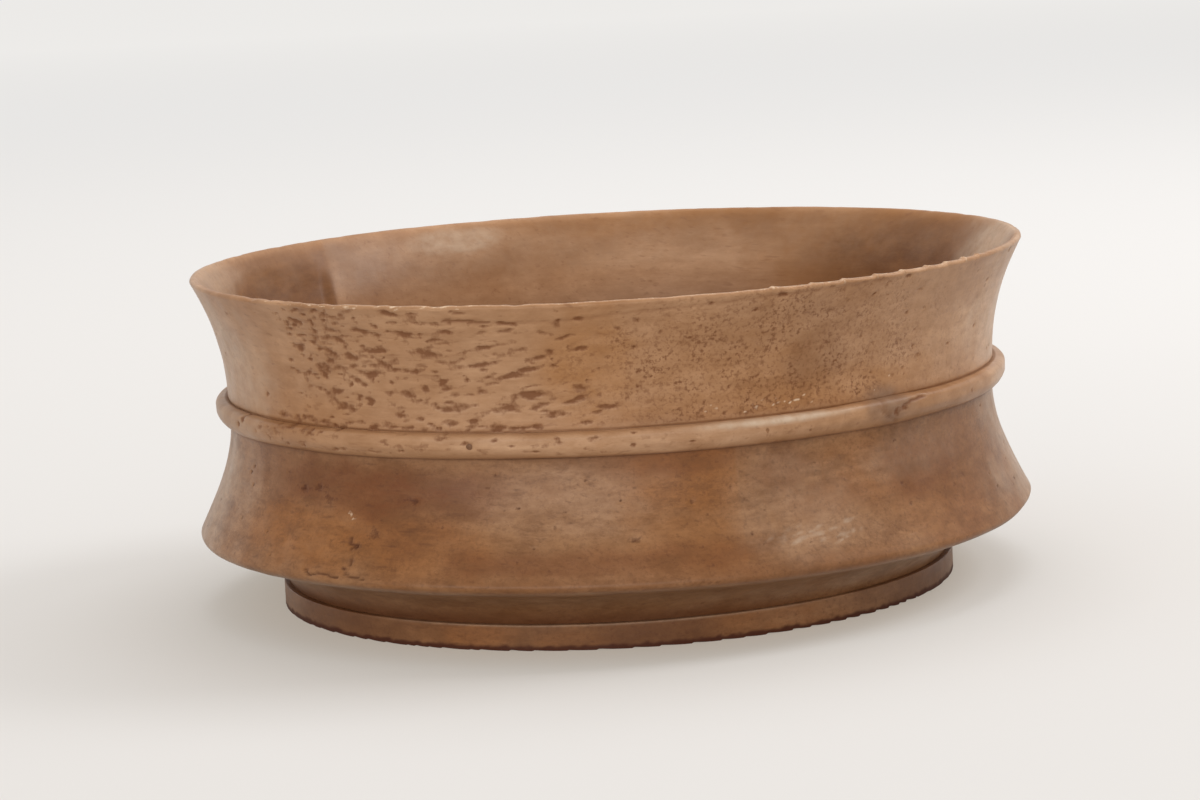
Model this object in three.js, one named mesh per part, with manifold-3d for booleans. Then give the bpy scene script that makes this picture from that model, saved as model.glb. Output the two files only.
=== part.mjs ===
// A carved wooden bowl built up from two rings, a floor disc and a low foot, held together by wooden pegs.
// Millimetres, +Z up. The origin is the centre of the foot's underside, which stands on the table.
// The bowl is round about the Z axis, and -Y is its front.
import * as THREE from "three";
import { mergeVertices } from "three/addons/utils/BufferGeometryUtils.js";
import Module from "manifold-3d";

// Overall sizes
const height = 60.4;
const rimRadius = 75.3;
const waistRadius = 69.6;
const shoulderRadius = 75.8;
const shoulderHeight = 13.6;

// Upper wall and its rounded lip
const lipWidth = 1.6;
const lipRounding = 0.5;
const waistWall = 4.3;
const flareRise = 10.5;
const flareWall = 3.3;
const flareWallRise = 2.1;

// Bead carved round the waist
const beadBottom = 34.4;
const beadHeight = 4.5;
const beadProud = 2.5;
const beadUndercut = 0.8;

// Lap joint at the waist, where the upper wall sits over the lower wall's spigot
const spigotHeight = 6.7;
const spigotWall = 2.8;
const clearance = 0.3;

// Lower wall: its splay from the waist to the shoulder, the rounded shoulder and the hollow underneath
const splayFall = 7.5;
const splayRun = 2.9;
const splayRise = 5.8;
const shoulderRounding = 1.3;
const coveDepth = 5;

// Inside of the lower wall, which sweeps in to the lip over the floor
const hollowTaper = 1;
const sweepHeight = 20.6;
const sweepRise = 1.1;
const innerLipThickness = 1;

// Floor disc, let into a rebate of the lower wall from below
const floorRadius = 53;
const floorThickness = 4.2;
const floorLap = 4.6;
const floorDish = 0.5;

// Foot ring, and the band of the lower wall that stands on it round the floor
const footHeight = 4.4;
const footBand = 7.1;
const footLedge = 0.95;
const footRounding = 0.3;
const footBoreLap = 4;
const footBoreSplay = 1.5;

// Scoop cut into the hollow's left side, which leaves a standing arris on the inner wall
const scoopBearing = 158;
const scoopAxisOffset = 25;
const scoopLipWall = 2.4;
const scoopSwell = 1.8;
const scoopSwellRise = 1.1;
const scoopFootInset = 3.3;
const scoopFootRise = 0.3;
const scoopOverrun = 1.1;

// Pegs
const waistPegs = 9;
const waistPegFirst = -109.5;
const waistPegRadius = 0.8;
const waistPegRecess = 0.1;
const waistPegCover = 0.9;
const footPegs = 6;
const footPegFirst = -60;
const footPegRadius = 1.05;
const footPegReach = 5.3;
const footPegRecess = 0.4;
const pegClearance = 0.25;
const pegPoint = 0.5;

// Fineness of the round forms
const roundSteps = 72;
const pegSteps = 10;
const curveSteps = 5;
const shortCurveSteps = 2;

const wood = {
  upper: new THREE.MeshStandardMaterial({ color: 0xa47c5c, roughness: 0.55, metalness: 0 }),
  lower: new THREE.MeshStandardMaterial({ color: 0x936a4b, roughness: 0.55, metalness: 0 }),
  foot: new THREE.MeshStandardMaterial({ color: 0x6f4a31, roughness: 0.6, metalness: 0 }),
  floor: new THREE.MeshStandardMaterial({ color: 0x8a6042, roughness: 0.6, metalness: 0 }),
  peg: new THREE.MeshStandardMaterial({ color: 0x573924, roughness: 0.65, metalness: 0 }),
};

const wasm = await Module();
wasm.setup();

// Half-outlines are drawn as radius against height, counterclockwise, and turned about the Z axis.
class Outline extends THREE.Path {
  curve(controlRadius, controlHeight, radius, z, steps = curveSteps) {
    return this.addCurve(
      steps,
      new THREE.QuadraticBezierCurve(
        this.currentPoint.clone(),
        new THREE.Vector2(controlRadius, controlHeight),
        new THREE.Vector2(radius, z),
      ),
    );
  }

  swing(control1, control2, end, steps = curveSteps) {
    return this.addCurve(
      steps,
      new THREE.CubicBezierCurve(
        this.currentPoint.clone(),
        new THREE.Vector2(...control1),
        new THREE.Vector2(...control2),
        new THREE.Vector2(...end),
      ),
    );
  }

  addCurve(steps, curve) {
    for (const point of curve.getPoints(steps).slice(1)) this.lineTo(point.x, point.y);
    return this;
  }
}

function outlineFrom(radius, z) {
  return new Outline().moveTo(radius, z);
}

function turned(outline, steps = roundSteps) {
  const points = outline.getPoints();
  if (points[0].x > 0) points.push(points[0].clone());
  const geometry = new THREE.LatheGeometry(points, steps);
  return geometry.rotateX(Math.PI / 2);
}

function solidOf(geometry) {
  const bare = geometry.clone();
  bare.deleteAttribute("normal");
  bare.deleteAttribute("uv");
  const merged = mergeVertices(bare);
  return new wasm.Manifold(
    new wasm.Mesh({
      numProp: 3,
      vertProperties: new Float32Array(merged.attributes.position.array),
      triVerts: new Uint32Array(merged.index.array),
    }),
  );
}

function geometryOf(solid) {
  const mesh = solid.getMesh();
  const geometry = new THREE.BufferGeometry();
  geometry.setAttribute("position", new THREE.BufferAttribute(mesh.vertProperties, 3));
  geometry.setIndex(new THREE.BufferAttribute(mesh.triVerts, 1));
  geometry.computeVertexNormals();
  return geometry;
}

function cut(geometry, tools) {
  return geometryOf(tools.reduce((solid, tool) => solid.subtract(solidOf(tool)), solidOf(geometry)));
}

function piece(name, geometry, material) {
  const mesh = new THREE.Mesh(geometry, material);
  mesh.name = name;
  return mesh;
}

// Values that several pieces share
const beadTop = beadBottom + beadHeight;
const beadMiddle = beadBottom + beadHeight / 2;
const hollowRadius = waistRadius - waistWall;
const spigotRadius = hollowRadius + spigotWall;
const ledge = beadBottom - clearance;
const spigotTop = ledge + spigotHeight;
const upperStep = spigotTop + clearance;
const floorBottom = footHeight + clearance;
const rebateRadius = floorRadius + clearance;
const rebateHeight = floorBottom + floorThickness;
const innerLipRadius = rebateRadius - floorLap;
const innerLipHeight = rebateHeight + innerLipThickness;
const neckRadius = rebateRadius + footBand;
const footRadius = neckRadius + footLedge;

// Pegs, each a turned pin with a pointed inner end, and the holes that they are driven into
function pegOutline(radius, length) {
  return outlineFrom(0, 0)
    .lineTo(radius, 0)
    .lineTo(radius, length - pegPoint)
    .lineTo(radius - pegPoint, length)
    .lineTo(0, length);
}

function pegHole(radius, length) {
  return new THREE.CylinderGeometry(radius, radius, length, pegSteps).rotateX(Math.PI / 2);
}

const waistPegHead = waistRadius + beadProud - waistPegRecess;
const waistPegEnd = hollowRadius + waistPegCover;
const waistPegAngles = Array.from({ length: waistPegs }, (_, i) => waistPegFirst + (360 / waistPegs) * i);
const footPegCircle = (rebateRadius + neckRadius) / 2;
const footPegTop = floorBottom + footPegReach;
const footPegAngles = Array.from({ length: footPegs }, (_, i) => footPegFirst + (360 / footPegs) * i);

const waistPegHoles = waistPegAngles.map((angle) => {
  const inner = waistPegEnd - clearance;
  const outer = waistPegHead + beadProud;
  return pegHole(waistPegRadius + pegClearance, outer - inner)
    .rotateY(Math.PI / 2)
    .translate((outer + inner) / 2, 0, beadMiddle)
    .rotateZ(THREE.MathUtils.degToRad(angle));
});

const footPegHoles = footPegAngles.map((angle) => {
  const top = footPegTop + clearance;
  const bottom = -clearance;
  return pegHole(footPegRadius + pegClearance, top - bottom)
    .translate(footPegCircle, 0, (top + bottom) / 2)
    .rotateZ(THREE.MathUtils.degToRad(angle));
});

// Upper wall: the flared ring with its lip, the bead at the waist and the skirt that laps over the spigot
function upperWallOutline() {
  const skirtBore = spigotRadius + clearance;
  const crest = waistRadius + beadProud;
  const lipInside = rimRadius - lipWidth;
  const lipShoulder = height - lipRounding;
  return outlineFrom(skirtBore, beadBottom)
    .lineTo(waistRadius + beadUndercut, beadBottom)
    .curve(crest, beadBottom + beadHeight / 8, crest, beadMiddle, 3)
    .curve(crest, beadTop - beadHeight / 8, waistRadius + beadUndercut / 2, beadTop - clearance, 3)
    .lineTo(waistRadius, beadTop)
    .curve(waistRadius, beadTop + flareRise, rimRadius, lipShoulder)
    .curve(rimRadius, height, rimRadius - lipRounding, height, shortCurveSteps)
    .lineTo(lipInside + lipRounding, height)
    .curve(lipInside, height, lipInside, lipShoulder, shortCurveSteps)
    .curve(waistRadius - flareWall, beadTop + flareRise + flareWallRise, hollowRadius, upperStep)
    .lineTo(skirtBore, upperStep);
}

// The scoop's cutter, a bowl shape turned about its own axis to the left of the bowl's
function scoopCutter() {
  const foot = hollowRadius - scoopFootInset - scoopAxisOffset;
  const belly = waistRadius + scoopSwell - scoopAxisOffset;
  const top = rimRadius - scoopLipWall - scoopAxisOffset;
  const footLevel = upperStep + scoopFootRise;
  const topLevel = height + scoopOverrun;
  const outline = outlineFrom(0, footLevel)
    .lineTo(foot, footLevel)
    .curve(belly, beadTop + flareRise + scoopSwellRise, top, topLevel)
    .lineTo(0, topLevel);
  return turned(outline)
    .translate(scoopAxisOffset, 0, 0)
    .rotateZ(THREE.MathUtils.degToRad(scoopBearing));
}

const upperWall = piece(
  "upper_wall",
  cut(turned(upperWallOutline()), [scoopCutter(), ...waistPegHoles]),
  wood.upper,
);

// Lower wall: the spigot, the ledge under the bead, the splayed side, the shoulder, the hollow underside
// and, inside, the sweep down to the lip that laps over the floor
function lowerWallOutline() {
  const shoulder = [shoulderRadius, shoulderHeight];
  const sideTop = waistRadius - clearance;
  const sweepRadius = hollowRadius - hollowTaper;
  return outlineFrom(rebateRadius, rebateHeight)
    .lineTo(rebateRadius, floorBottom)
    .lineTo(neckRadius, floorBottom)
    .curve(
      neckRadius + (shoulderRadius - neckRadius) / 8,
      floorBottom + coveDepth,
      shoulderRadius - shoulderRounding / 2,
      shoulderHeight - shoulderRounding,
    )
    .curve(shoulderRadius + shoulderRounding / 5, shoulderHeight - shoulderRounding, ...shoulder, shortCurveSteps)
    .swing(
      [shoulderRadius - splayRun, shoulderHeight + splayRise],
      [sideTop, ledge - splayFall],
      [sideTop, ledge],
    )
    .lineTo(spigotRadius, ledge)
    .lineTo(spigotRadius, spigotTop)
    .lineTo(hollowRadius, spigotTop)
    .lineTo(sweepRadius, innerLipHeight + sweepHeight)
    .curve(sweepRadius, innerLipHeight + sweepRise, innerLipRadius, innerLipHeight)
    .lineTo(innerLipRadius, rebateHeight);
}

const lowerWall = piece(
  "lower_wall",
  cut(turned(lowerWallOutline()), [...waistPegHoles, ...footPegHoles]),
  wood.lower,
);

// Floor: a disc whose raised middle stands inside the lower wall's lip, and whose rim lies in the rebate
function floorOutline() {
  const raised = innerLipRadius - clearance;
  const rim = rebateRadius - clearance;
  return outlineFrom(0, floorBottom)
    .lineTo(rim, floorBottom)
    .lineTo(rim, rebateHeight - clearance)
    .lineTo(raised, rebateHeight - clearance)
    .lineTo(raised, innerLipHeight - clearance)
    .curve(raised / 2, innerLipHeight - clearance - floorDish, 0, innerLipHeight - clearance - floorDish);
}

const floor = piece("floor", turned(floorOutline()), wood.floor);

// Foot ring: it stands on the table, carries the lower wall and keeps the floor disc in its rebate
function footRingOutline() {
  const footBore = floorRadius - footBoreLap;
  return outlineFrom(footBore + footBoreSplay, 0)
    .lineTo(footRadius, 0)
    .lineTo(footRadius, footHeight - footRounding)
    .curve(footRadius, footHeight, footRadius - footRounding, footHeight, shortCurveSteps)
    .lineTo(footBore, footHeight);
}

const footRing = piece("foot_ring", cut(turned(footRingOutline()), footPegHoles), wood.foot);

// Each peg stands in a group turned to its place round the bowl
function waistPeg(angle, index) {
  const geometry = turned(pegOutline(waistPegRadius, waistPegHead - waistPegEnd), pegSteps);
  const peg = piece(`waist_peg_${index + 1}`, geometry, wood.peg);
  peg.rotation.y = -Math.PI / 2;
  peg.position.set(waistPegHead, 0, beadMiddle);
  const place = new THREE.Group();
  place.rotation.z = THREE.MathUtils.degToRad(angle);
  return place.add(peg);
}

function footPeg(angle, index) {
  const geometry = turned(pegOutline(footPegRadius, footPegTop - footPegRecess), pegSteps);
  const peg = piece(`foot_peg_${index + 1}`, geometry, wood.peg);
  peg.position.set(footPegCircle, 0, footPegRecess);
  const place = new THREE.Group();
  place.rotation.z = THREE.MathUtils.degToRad(angle);
  return place.add(peg);
}

const bowl = new THREE.Group();
bowl.add(upperWall, lowerWall, floor, footRing);
bowl.add(...waistPegAngles.map(waistPeg), ...footPegAngles.map(footPeg));

export default bowl;
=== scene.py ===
import itertools
import math

import bmesh
import bpy
import numpy as np
from mathutils import Matrix, Vector


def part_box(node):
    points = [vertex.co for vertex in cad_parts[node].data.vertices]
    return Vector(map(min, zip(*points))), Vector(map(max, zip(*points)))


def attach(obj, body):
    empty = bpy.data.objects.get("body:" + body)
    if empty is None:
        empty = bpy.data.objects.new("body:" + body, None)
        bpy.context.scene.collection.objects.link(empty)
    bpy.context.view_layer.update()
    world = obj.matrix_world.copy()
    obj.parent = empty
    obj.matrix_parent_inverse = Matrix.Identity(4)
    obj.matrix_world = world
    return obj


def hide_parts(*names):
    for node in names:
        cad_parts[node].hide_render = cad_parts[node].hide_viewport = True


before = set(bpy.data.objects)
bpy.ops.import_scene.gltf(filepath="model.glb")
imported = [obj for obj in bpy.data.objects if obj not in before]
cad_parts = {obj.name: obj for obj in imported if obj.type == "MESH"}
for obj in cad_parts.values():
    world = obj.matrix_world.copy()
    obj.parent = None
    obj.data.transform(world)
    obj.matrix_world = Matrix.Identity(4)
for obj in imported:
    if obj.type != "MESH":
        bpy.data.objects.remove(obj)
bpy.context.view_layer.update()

# The table and the light.
# The bowl stands on a plain pale table that runs on behind it. One wide soft light hangs above and behind it,
# one stands at its right and a low one in front, and the room round them is pale.
scene = bpy.context.scene
scene.view_settings.view_transform = "Standard"


def paint(red, green, blue):
    """A colour given as 0 to 255 on a screen, as the light that it stands for."""
    light = [((c / 255 + 0.055) / 1.055) ** 2.4 if c > 10 else c / 255 / 12.92 for c in (red, green, blue)]
    return (*light, 1)


def new_material(name):
    material = bpy.data.materials.new(name)
    material.use_nodes = True
    material.node_tree.nodes.clear()
    return material


def add(material, kind, links=(), **settings):
    """A node of that kind. Each link is (input, output socket or value)."""
    node = material.node_tree.nodes.new("ShaderNode" + kind)
    for key, value in settings.items():
        setattr(node, key, value)
    for socket, source in links:
        if isinstance(source, bpy.types.NodeSocket):
            material.node_tree.links.new(source, node.inputs[socket])
        else:
            node.inputs[socket].default_value = source
    return node


table_size, table_squares = 14, 40
bm = bmesh.new()
bmesh.ops.create_grid(bm, x_segments=table_squares, y_segments=table_squares, size=table_size / 2)
table_mesh = bpy.data.meshes.new("table")
bm.to_mesh(table_mesh)
bm.free()
table = bpy.data.objects.new("table", table_mesh)
scene.collection.objects.link(table)
cloth = new_material("pale_table")
where = add(cloth, "TexCoord").outputs["Object"]
depth = add(cloth, "SeparateXYZ", [("Vector", where)]).outputs["Y"]
far = add(cloth, "MapRange", [("Value", depth), ("From Min", -0.3), ("From Max", 1.6)],
          interpolation_type="SMOOTHSTEP").outputs["Result"]
tint = add(cloth, "Mix", [("Factor", far), ("A", paint(177, 178, 181)), ("B", paint(184, 185, 188))],
           data_type="RGBA")
gleam = add(cloth, "Mix", [("Factor", far), ("A", paint(236, 223, 203)), ("B", paint(236, 232, 225))],
            data_type="RGBA")
matt = add(cloth, "BsdfDiffuse", [("Color", tint.outputs["Result"])])
ray = add(cloth, "LightPath").outputs
seen = add(cloth, "Math", [(0, ray["Is Camera Ray"]), (1, ray["Is Glossy Ray"])], operation="ADD")
seen = add(cloth, "Math", [(0, seen.outputs["Value"]), (1, ray["Is Transmission Ray"])],
           operation="ADD", use_clamp=True)
lift = add(cloth, "MapRange", [("Value", depth), ("From Min", 0.0), ("From Max", 2.4),
                               ("To Min", 0.36), ("To Max", 0.61)])
lift = add(cloth, "Math", [(0, seen.outputs["Value"]), (1, lift.outputs["Result"])], operation="MULTIPLY")
glow = add(cloth, "Emission", [("Color", gleam.outputs["Result"]), ("Strength", lift.outputs["Value"])])
both = add(cloth, "AddShader", [(0, matt.outputs["BSDF"]), (1, glow.outputs["Emission"])])
add(cloth, "OutputMaterial", [("Surface", both.outputs["Shader"])])
table_mesh.materials.append(cloth)

room = bpy.data.worlds.new("room")
room.use_nodes = True
room.node_tree.nodes["Background"].inputs["Color"].default_value = (1.0, 1.0, 1.0, 1)
room.node_tree.nodes["Background"].inputs["Strength"].default_value = 0.68
scene.world = room

lit_point = Vector((0, 0, 0.03))
lamp_colour = (1, 0.99, 0.975)


def soft_light(name, watts, width, tall, place):
    """A soft light at that place, turned to the bowl's middle."""
    lamp = bpy.data.lights.new(name, "AREA")
    lamp.shape = "RECTANGLE"
    lamp.size, lamp.size_y = width, tall
    lamp.energy = watts
    lamp.color = lamp_colour
    holder = bpy.data.objects.new(name, lamp)
    holder.location = place
    holder.rotation_euler = (lit_point - Vector(place)).to_track_quat("-Z", "Y").to_euler()
    scene.collection.objects.link(holder)


soft_light("overhead_light", 4.5, 0.8, 0.8, (0.14, 0.40, 1.07))
soft_light("right_light", 5.8, 0.5, 0.5, (0.90, 0.18, 0.85))
soft_light("front_light", 11.2, 2.2, 0.5, (-0.45, -1.45, 0.30))

# The camera.
# It looks a little down on the bowl's front, turned slightly about its own line of sight.
distance, pitch, roll = 0.6628, math.radians(8.432), math.radians(3.169)
aim = Vector((-0.00199, 0, 0.0332))
eye = bpy.data.cameras.new("eye")
eye.lens = 108.63
eye.sensor_width = 36
eye.clip_start, eye.clip_end = 0.01, 50
viewer = bpy.data.objects.new("eye", eye)
viewer.rotation_mode = "XYZ"
turn = Matrix.Rotation(math.pi / 2 - pitch, 4, "X") @ Matrix.Rotation(-roll, 4, "Z")
back = turn.to_3x3() @ Vector((0, 0, 1))
viewer.matrix_world = Matrix.Translation(aim + back * distance) @ turn
scene.collection.objects.link(viewer)
scene.camera = viewer

# The upper wall.
# One piece of close-grained wood, carved round: a flared wall with a thin lip, and a bead at its foot.
# Its lower edge laps over the lower wall's spigot, and pegs through the bead hold it there.
mm = 0.001
bowl_height = 60.4
face_radius = 72  # turns a bearing on the outer face into millimetres
bead_middle = 36.65
turning_steps = 105
close_cuts, plain_cuts = 7, 3  # cuts between two turning steps
rng = np.random.default_rng(11)


def outline(start, *strokes):
    """Points along a template: each stroke is (spacing, points...), straight, or bent by one or two points."""
    path = [np.array(start, float)]
    for spacing, *points in strokes:
        held = [path[-1]] + [np.array(p, float) for p in points]
        reach = sum(np.linalg.norm(b - a) for a, b in zip(held, held[1:]))
        for t in np.linspace(0, 1, max(1, round(reach / spacing)) + 1)[1:]:
            row = held
            while len(row) > 1:
                row = [a * (1 - t) + b * t for a, b in zip(row, row[1:])]
            path.append(row[0])
    if np.linalg.norm(path[-1] - path[0]) < 1e-6:
        path.pop()
    return path


def bearing_of(point):
    """Degrees from the bowl's front, counted to its right."""
    return math.degrees(math.atan2(point.x, -point.y))


def turned(name, path, outer_face=(), fine=((-77, 77),)):
    """A ring with that outline, in millimetres. Its outer face, if it has one, runs between two outline points.
    Between the fine bearings the mesh is twice as close as elsewhere, for the smallest marks.
    An outline that starts and ends on the axis makes a disc, closed at its middle."""
    bm = bmesh.new()
    outer = bm.verts.layers.float.new("outer_face")
    radius = bm.verts.layers.float.new("radius")
    ends = [min(range(len(path)), key=lambda k: np.linalg.norm(path[k] - end)) for end in outer_face]
    ring = []
    for k, (r, z) in enumerate(path):
        vert = bm.verts.new((r * mm, 0, z * mm))
        vert[outer] = 1.0 if ends and ends[0] <= k <= ends[1] else 0.0
        vert[radius] = r * mm
        ring.append(vert)
    following = ring[1:] + (ring[:1] if path[0][0] > 0 else [])
    edges = [bm.edges.new(pair) for pair in zip(ring, following)]
    bmesh.ops.spin(bm, geom=ring + edges, cent=(0, 0, 0), axis=(0, 0, 1), angle=2 * math.pi,
                   steps=turning_steps, use_merge=True)
    on_axis = [vert for vert in bm.verts if vert[radius] == 0]
    bmesh.ops.remove_doubles(bm, verts=on_axis, dist=1e-6)
    levels = {close_cuts: [], plain_cuts: []}
    for edge in bm.edges:
        a, b = edge.verts
        if abs(a.co.z - b.co.z) < 1e-7 and abs(a[radius] - b[radius]) < 1e-8:
            bearing = bearing_of(a.co + b.co)
            close = any(low < bearing < high for low, high in fine)
            levels[close_cuts if close else plain_cuts].append(edge)
    for cuts, level in levels.items():
        bmesh.ops.subdivide_edges(bm, edges=level, cuts=cuts, use_grid_fill=True)
    for vert in bm.verts:
        vert.co.xy = vert.co.xy.normalized() * vert[radius]
    bmesh.ops.recalc_face_normals(bm, faces=bm.faces)
    return finished(name, bm)


def finished(name, bm, crease=50):
    mesh = bpy.data.meshes.new(name)
    bm.to_mesh(mesh)
    bm.free()
    mesh.shade_smooth()
    mesh.set_sharp_from_angle(angle=math.radians(crease))
    piece = bpy.data.objects.new(name, mesh)
    scene.collection.objects.link(piece)
    return piece


def unevenness(points, scale, seed, cells_across=48):
    """A smooth value from -1 to 1 that wanders from place to place over that distance."""
    slanted = np.array(Matrix.Rotation(0.8, 3, (1, 2, 3)))
    cells = points @ slanted / scale + 1000.5
    base = np.floor(cells).astype(int)
    part = cells - base
    part = part * part * (3 - 2 * part)
    heap = np.random.default_rng(seed).uniform(-1, 1, (cells_across, cells_across, cells_across))
    total = np.zeros(len(points))
    for corner in itertools.product((0, 1), repeat=3):
        weight = np.prod(np.where(corner, part, 1 - part), axis=1)
        i, j, k = ((base + corner) % cells_across).T
        total += weight * heap[i, j, k]
    return total


def smoothly(low, high, value):
    """0 below low and 1 above high, with an even passage between them."""
    t = np.clip((value - low) / (high - low), 0, 1)
    return t * t * (3 - 2 * t)


class Surface:
    """A ring's vertices as the carver sees them: bearing from the front in degrees, height and radius in mm."""

    def __init__(self, piece):
        self.mesh = piece.data
        self.at = self.read("co") / mm
        self.way = self.read("normal")
        self.radius = np.hypot(self.at[:, 0], self.at[:, 1])
        self.bearing = np.degrees(np.arctan2(self.at[:, 0], -self.at[:, 1]))
        self.height = self.at[:, 2].copy()
        self.outer = np.zeros(len(self.at))
        if "outer_face" in self.mesh.attributes:
            self.mesh.attributes["outer_face"].data.foreach_get("value", self.outer)
        self.bare = np.zeros(len(self.at))

    def read(self, key):
        values = np.zeros(len(self.mesh.vertices) * 3)
        self.mesh.vertices.foreach_get(key, values)
        return values.reshape(-1, 3)

    def away(self, bearing):
        """Degrees from that bearing, the short way round."""
        return (self.bearing - bearing + 180) % 360 - 180

    def patch(self, bearing, height, half_width, half_height, strength=1.0, soft=0.5, ragged=0.35, seed=1):
        """How much of a painted patch each vertex has, for stains and wear and for painted shade and painted light:
        full at its middle and none outside, with a ragged edge.
        """
        edge = np.hypot(self.away(bearing) / half_width, (self.height - height) / half_height)
        edge = edge + ragged * (unevenness(self.at, 7.0, seed) + 0.5 * unevenness(self.at, 2.5, seed + 50))
        return strength * (1 - smoothly(1 - soft, 1 + soft, edge))

    def patches(self, *rows):
        """The strongest of several patches at each vertex. Each row has the values of one patch, in its order."""
        stains = [self.patch(*row, seed=100 + 7 * k) for k, row in enumerate(rows)]
        return np.maximum.reduce(stains + [self.bare])

    def pit(self, field, bearing, height, half_length, half_width, tilt=0.0, full=1.0):
        """Adds a pit to the field: its strength at its middle, falling to 0 at its edge. Lengths in mm."""
        close = (np.abs(self.away(bearing)) < 8) & (np.abs(self.height - height) < 6)
        near = np.flatnonzero(close & (self.outer > 0.5))
        along = np.radians(self.away(bearing)[near]) * self.radius[near]
        up = self.height[near] - height
        lean = math.radians(tilt)
        u = (along * math.cos(lean) + up * math.sin(lean)) / half_length
        v = (up * math.cos(lean) - along * math.sin(lean)) / half_width
        field[near] = np.maximum(field[near], full * (1 - np.hypot(u, v)))

    def sprinkle(self, field, count, bearings, heights, lengths, widths, tilts=(-6, 10), full=(0.5, 1.0)):
        """Adds that many pits, each value drawn between the two given."""
        for _ in range(count):
            row = [rng.uniform(*span) for span in (bearings, heights, lengths, widths, tilts, full)]
            self.pit(field, *row)

    def crack(self, field, path, half_width, full=1.0):
        """Adds a crack along (bearing, height) points, full at its line and 0 at half_width mm from it."""
        points = [(math.radians(b) * face_radius, h) for b, h in path]
        low, high = min(b for b, _ in path) - 3, max(b for b, _ in path) + 3
        near = np.flatnonzero((self.bearing > low) & (self.bearing < high) & (self.outer > 0.5))
        here = np.stack([np.radians(self.bearing[near]) * face_radius, self.height[near]], axis=1)
        stray = [unevenness(self.at[near], 1.2, 61), unevenness(self.at[near], 1.2, 62)]
        here = here + 0.25 * np.stack(stray, axis=1)
        gap = np.full(len(near), 99.0)
        for a, b in zip(points, points[1:]):
            a, b = np.array(a), np.array(b)
            t = np.clip(((here - a) @ (b - a)) / ((b - a) @ (b - a)), 0, 1)
            gap = np.minimum(gap, np.linalg.norm(here - a - t[:, None] * (b - a), axis=1))
        field[near] = np.maximum(field[near], full * (1 - gap / half_width))

    def shift(self, distance):
        """Moves each vertex along its own outward direction, by that many mm."""
        self.at += self.way * distance[:, None]

    def keep(self):
        """Sets the carved places back in the mesh. The bowl leans a little to its right as it rises, the
        shoulder is skewed and stands higher at its right end, and both ends of the rim rise a little."""
        right_rise, skew, lean = 0.95, 0.0075, 0.59
        shoulder = smoothly(4.7, 10, self.height) * (1 - smoothly(18, 30, self.height)) * (self.outer > 0.5)
        right_end = smoothly(30, 8, np.abs(self.away(92)))
        bend = np.interp(self.bearing, (-110, -75, -50, 45, 74, 110), (0, -0.2, 0, 0, 0.55, 0))
        underside = (1 - smoothly(12, 14.5, self.height)) * bend
        self.at[:, 2] += shoulder * (right_rise * right_end - skew * self.at[:, 0] + underside)
        end_rise = np.where(self.at[:, 0] > 0, 0.28, 0.2) * (self.at[:, 0] / 75) ** 2
        self.at[:, 2] += end_rise * smoothly(44, 60, self.height)
        self.at[:, 0] += lean * (self.height / bowl_height - 0.475)
        self.mesh.vertices.foreach_set("co", (self.at * mm).ravel())
        self.mesh.update()

    def note(self, name, red, green, blue, fourth):
        """Stores four painted amounts with the vertices, for the material."""
        layer = self.mesh.attributes.new(name, "FLOAT_COLOR", "POINT")
        values = np.stack([red, green, blue, fourth], axis=1).astype(np.float32)
        layer.data.foreach_set("color", values.ravel())


def set_on(piece, node, material):
    """The piece stands for that node of the frame, and takes its material from that slot."""
    piece.data.materials.append(material)
    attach(piece, "root")
    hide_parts(node)


upper_wall = turned("upper_wall_carved", outline(
    (68.4, 34.2), (0.9, (70.1, 34.2)), (0.3, (71.3, 34.9), (71.8, 36.3)), (0.35, (71.85, 37.5)),
    (0.22, (71.8, 38.3), (71.0, 38.5)), (0.35, (70.0, 38.66)), (0.25, (69.5, 38.52)), (0.3, (69.6, 39.05)),
    (0.35, (69.6, 49.5), (75.3, 59.8)), (0.15, (75.3, 60.35), (74.7, 60.4)), (0.2, (74.35, 60.4)),
    (0.25, (73.9, 60.35), (73.0, 59.0)), (0.85, (66.5, 50.6), (65.3, 41.1)),
    (1.5, (68.4, 41.1)), (1.8, (68.4, 34.2))), ((70.1, 34.2), (74.7, 60.4)), ((-77, 77), (-141, -110)))
wall = Surface(upper_wall)
hollow_side = (wall.outer < 0.5) & (wall.height > 41.2)

# The scooped place in the hollow, left of the back: a round gouge with its own axis.
scoop_bearing, scoop_offset = math.radians(158), 25.0
arris_bearing, arris_lean = 131.3, 0.22
scoop = np.array(outline((37.0, 41.1), (0.5, (46.4, 50.5), (47.9, 61.5))))
swing = np.arctan2(wall.at[:, 1], wall.at[:, 0]) - scoop_bearing
reach = np.interp(wall.height, scoop[:, 1], scoop[:, 0])
half_chord = np.sqrt(np.maximum(reach ** 2 - (scoop_offset * np.sin(swing)) ** 2, 0))
gouged = half_chord + scoop_offset * np.cos(swing)
past_arris = wall.bearing + arris_bearing - arris_lean * (57 - wall.height)
window = smoothly(0, 2.8, past_arris) * (1 - smoothly(-112, -74, wall.bearing))
window = window * smoothly(41.3, 46, wall.height) * (1 - smoothly(51, 59, wall.height))
deeper = np.maximum((gouged - wall.radius) * smoothly(0, 2.2, past_arris), 1.1 * window)
deeper = np.where(hollow_side & (wall.radius < 73.9), deeper, 0)
carved = deeper > 0
wall.at[carved, :2] *= (1 + deeper[carved] / wall.radius[carved])[:, None]

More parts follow.
